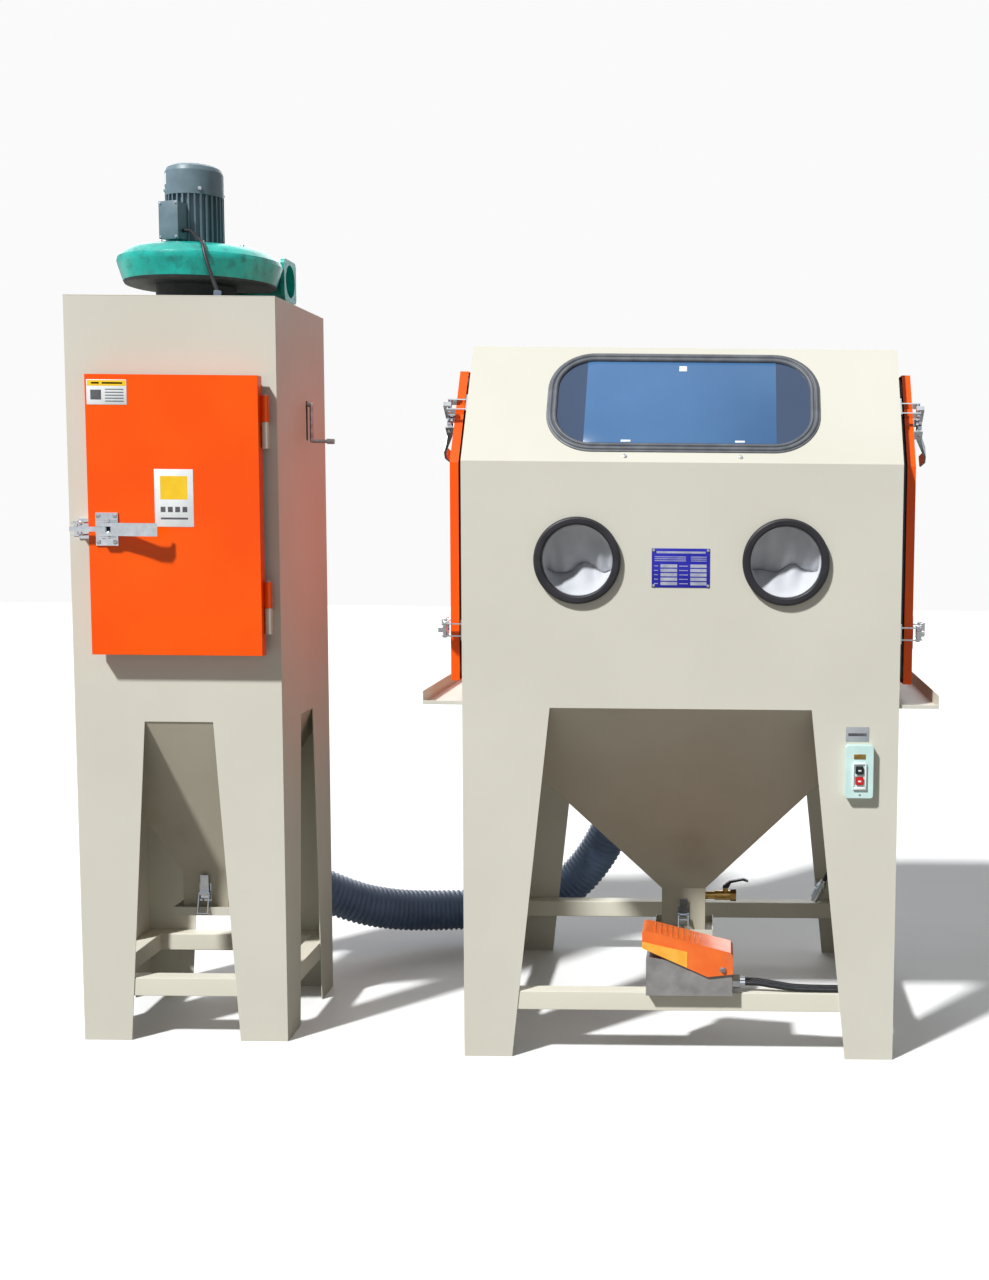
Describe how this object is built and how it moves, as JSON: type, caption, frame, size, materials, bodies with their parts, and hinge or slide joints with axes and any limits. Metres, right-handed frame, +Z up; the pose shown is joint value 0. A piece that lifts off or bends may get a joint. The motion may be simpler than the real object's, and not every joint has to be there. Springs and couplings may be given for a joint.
{
  "type": "sandblast cabinet",
  "caption": "Sheet-metal sandblast cabinet on tapered legs with glove ports, sloped window and side doors, ducted to a fan-topped dust collector.",
  "frame": {"origin": "centre of the footprint of both units, at floor level", "axes": "+Z up; the fronts of both units face -Y; +X to the right, from the dust collector to the blast cabinet"},
  "size_m": [1.814, 0.9689, 1.877],
  "materials": {
    "beige_paint": "satin powder coat",
    "orange_paint": "gloss enamel",
    "chrome": "polished plate",
    "zinc_steel": "plain zinc plate",
    "black_rubber": "matt",
    "black_plastic": "semi-gloss moulding",
    "glove_cloth": "plain cotton",
    "filter_cloth": "needle felt",
    "window_glass": "clear, with a blue film",
    "lamp_white": "diffusing cover",
    "mint_plastic": "semi-gloss moulding",
    "red_plastic": "semi-gloss moulding",
    "grey_cast": "sand-cast",
    "brass": "turned",
    "duct_plastic": "ribbed hose",
    "teal_cast": "hammered enamel on a casting",
    "slate_cast": "semi-gloss enamel on a casting",
    "hose_rubber": "smooth"
  },
  "bodies": {
    "frame": {"front_panel": "beige_paint", "left_side_panel": "beige_paint", "right_side_panel": "beige_paint", "back_panel": "beige_paint", "floor_rails": "beige_paint", "hopper": "beige_paint", "cap_brackets": "chrome", "hinge_barrels": "beige_paint", "door_seals": "black_rubber", "latch_keepers": "chrome", "glove_rings": "black_plastic", "gloves": "glove_cloth", "window_seal": "black_rubber", "window_glass": "window_glass", "work_grate": "zinc_steel", "blast_gun": "grey_cast", "lamp": "lamp_white", "side_trays": "beige_paint", "switch_box": "mint_plastic", "pedal_base": "grey_cast", "line_fittings": "chrome", "supply_hose": "hose_rubber", "gun_hose": "hose_rubber", "drain_valve": "brass", "duct_hose": "duct_plastic", "duct_spigots": "beige_paint", "collector_front_panel": "beige_paint", "collector_casing": "beige_paint", "collector_hopper": "beige_paint", "filter_bags": "filter_cloth", "tube_sheet": "zinc_steel", "fan_base": "black_plastic", "fan_housing": "teal_cast", "motor_body": "slate_cast", "motor_cowl": "slate_cast", "motor_cable": "hose_rubber"},
    "left_door": {"left_door": "orange_paint", "left_latch_bases": "chrome"},
    "right_door": {"right_door": "orange_paint", "right_latch_bases": "chrome"},
    "collector_door": {"collector_door": "orange_paint", "collector_latch_base": "chrome"},
    "left_upper_lever": {"left_upper_lever": "chrome"},
    "left_lower_lever": {"left_lower_lever": "chrome"},
    "right_upper_lever": {"right_upper_lever": "chrome"},
    "right_lower_lever": {"right_lower_lever": "chrome"},
    "collector_lever": {"collector_lever": "chrome"},
    "hopper_cap": {"hopper_cap": "beige_paint"},
    "hopper_latch_lever": {"hopper_latch_lever": "chrome"},
    "hopper_latch_bail": {"hopper_latch_bail": "chrome"},
    "collector_cap": {"collector_cap": "beige_paint"},
    "collector_cap_lever": {"collector_cap_lever": "chrome"},
    "collector_cap_bail": {"collector_cap_bail": "chrome"},
    "valve_lever": {"valve_lever": "black_plastic"},
    "pedal_treadle": {"pedal_treadle": "orange_paint"},
    "start_button": {"start_button": "black_plastic"},
    "stop_button": {"stop_button": "red_plastic"},
    "fan_rotor": {"fan_impeller": "grey_cast", "motor_shaft": "zinc_steel"},
    "shaker_rod": {"shaker_rod": "zinc_steel"}
  },
  "joints": [
    {"name": "left_door_hinge", "type": "hinge", "parent": "frame", "child": "left_door", "pos_m": [-0.097, 0.3235, 1.1], "axis": [0, 0, -1], "range_deg": [0, 20]},
    {"name": "right_door_hinge", "type": "hinge", "parent": "frame", "child": "right_door", "pos_m": [0.845, 0.3235, 1.1], "axis": [0, 0, 1], "range_deg": [0, 110]},
    {"name": "collector_door_hinge", "type": "hinge", "parent": "frame", "child": "collector_door", "pos_m": [-0.4875, -0.387, 1.1], "axis": [0, 0, 1], "range_deg": [0, 110]},
    {"name": "right_lower_latch", "type": "hinge", "parent": "right_door", "child": "right_lower_lever", "pos_m": [0.871, -0.362, 0.898], "axis": [0, 0, -1], "range_deg": [0, 100]},
    {"name": "left_lower_latch", "type": "hinge", "parent": "left_door", "child": "left_lower_lever", "pos_m": [-0.123, -0.362, 0.898], "axis": [0, 0, 1], "range_deg": [0, 70]},
    {"name": "right_upper_latch", "type": "hinge", "parent": "right_door", "child": "right_upper_lever", "pos_m": [0.871, -0.29511, 1.32289], "axis": [0, -0.5819, -0.8133], "range_deg": [0, 100]},
    {"name": "left_upper_latch", "type": "hinge", "parent": "left_door", "child": "left_upper_lever", "pos_m": [-0.123, -0.29511, 1.32289], "axis": [0, 0.5819, 0.8133], "range_deg": [0, 70]},
    {"name": "collector_latch", "type": "hinge", "parent": "collector_door", "child": "collector_lever", "pos_m": [-0.812, -0.425, 1.098], "axis": [0, 0, -1], "range_deg": [0, 100]},
    {"name": "hopper_cap_hinge", "type": "hinge", "parent": "frame", "child": "hopper_cap", "pos_m": [0.374, 0.031, 0.178], "axis": [1, 0, 0], "range_deg": [0, 90]},
    {"name": "hopper_latch_lever_hinge", "type": "hinge", "parent": "frame", "child": "hopper_latch_lever", "pos_m": [0.374, -0.102, 0.205], "axis": [1, 0, 0], "range_deg": [0, 80]},
    {"name": "hopper_latch_bail_hinge", "type": "hinge", "parent": "hopper_latch_lever", "child": "hopper_latch_bail", "pos_m": [0.374, -0.107, 0.215], "axis": [1, 0, 0], "range_deg": [-104, 0]},
    {"name": "collector_cap_hinge", "type": "hinge", "parent": "frame", "child": "collector_cap", "pos_m": [-0.688, -0.092, 0.253], "axis": [1, 0, 0], "range_deg": [0, 90]},
    {"name": "collector_cap_lever_hinge", "type": "hinge", "parent": "frame", "child": "collector_cap_lever", "pos_m": [-0.688, -0.225, 0.28], "axis": [1, 0, 0], "range_deg": [0, 80]},
    {"name": "collector_cap_bail_hinge", "type": "hinge", "parent": "collector_cap_lever", "child": "collector_cap_bail", "pos_m": [-0.688, -0.23, 0.29], "axis": [1, 0, 0], "range_deg": [-104, 0]},
    {"name": "valve_lever_turn", "type": "hinge", "parent": "frame", "child": "valve_lever", "pos_m": [0.471, -0.045, 0.27], "axis": [0, 0, -1], "range_deg": [0, 90]},
    {"name": "treadle_hinge", "type": "hinge", "parent": "frame", "child": "pedal_treadle", "pos_m": [0.466, -0.425, 0.199], "axis": [0, -1, 0], "range_deg": [0, 10], "stiffness_Nm_per_rad": 12, "springref_deg": -11.46},
    {"name": "start_press", "type": "slide", "parent": "frame", "child": "start_button", "axis": [0, 1, 0], "range_m": [0, 0.003], "stiffness_N_per_m": 400, "springref_m": -0.002},
    {"name": "stop_press", "type": "slide", "parent": "frame", "child": "stop_button", "axis": [0, 1, 0], "range_m": [0, 0.003], "stiffness_N_per_m": 400, "springref_m": -0.002},
    {"name": "fan_spin", "type": "hinge", "parent": "frame", "child": "fan_rotor", "pos_m": [-0.696, -0.165, 1.65], "axis": [0, 0, 1], "continuous": true},
    {"name": "shaker_slide", "type": "slide", "parent": "frame", "child": "shaker_rod", "axis": [0, 0, -1], "range_m": [0, 0.07]}
  ],
  "couplings": [
    {"joint": "hopper_latch_bail_hinge", "follows": "hopper_latch_lever_hinge", "ratio": -1.3},
    {"joint": "collector_cap_bail_hinge", "follows": "collector_cap_lever_hinge", "ratio": -1.3}
  ]
}
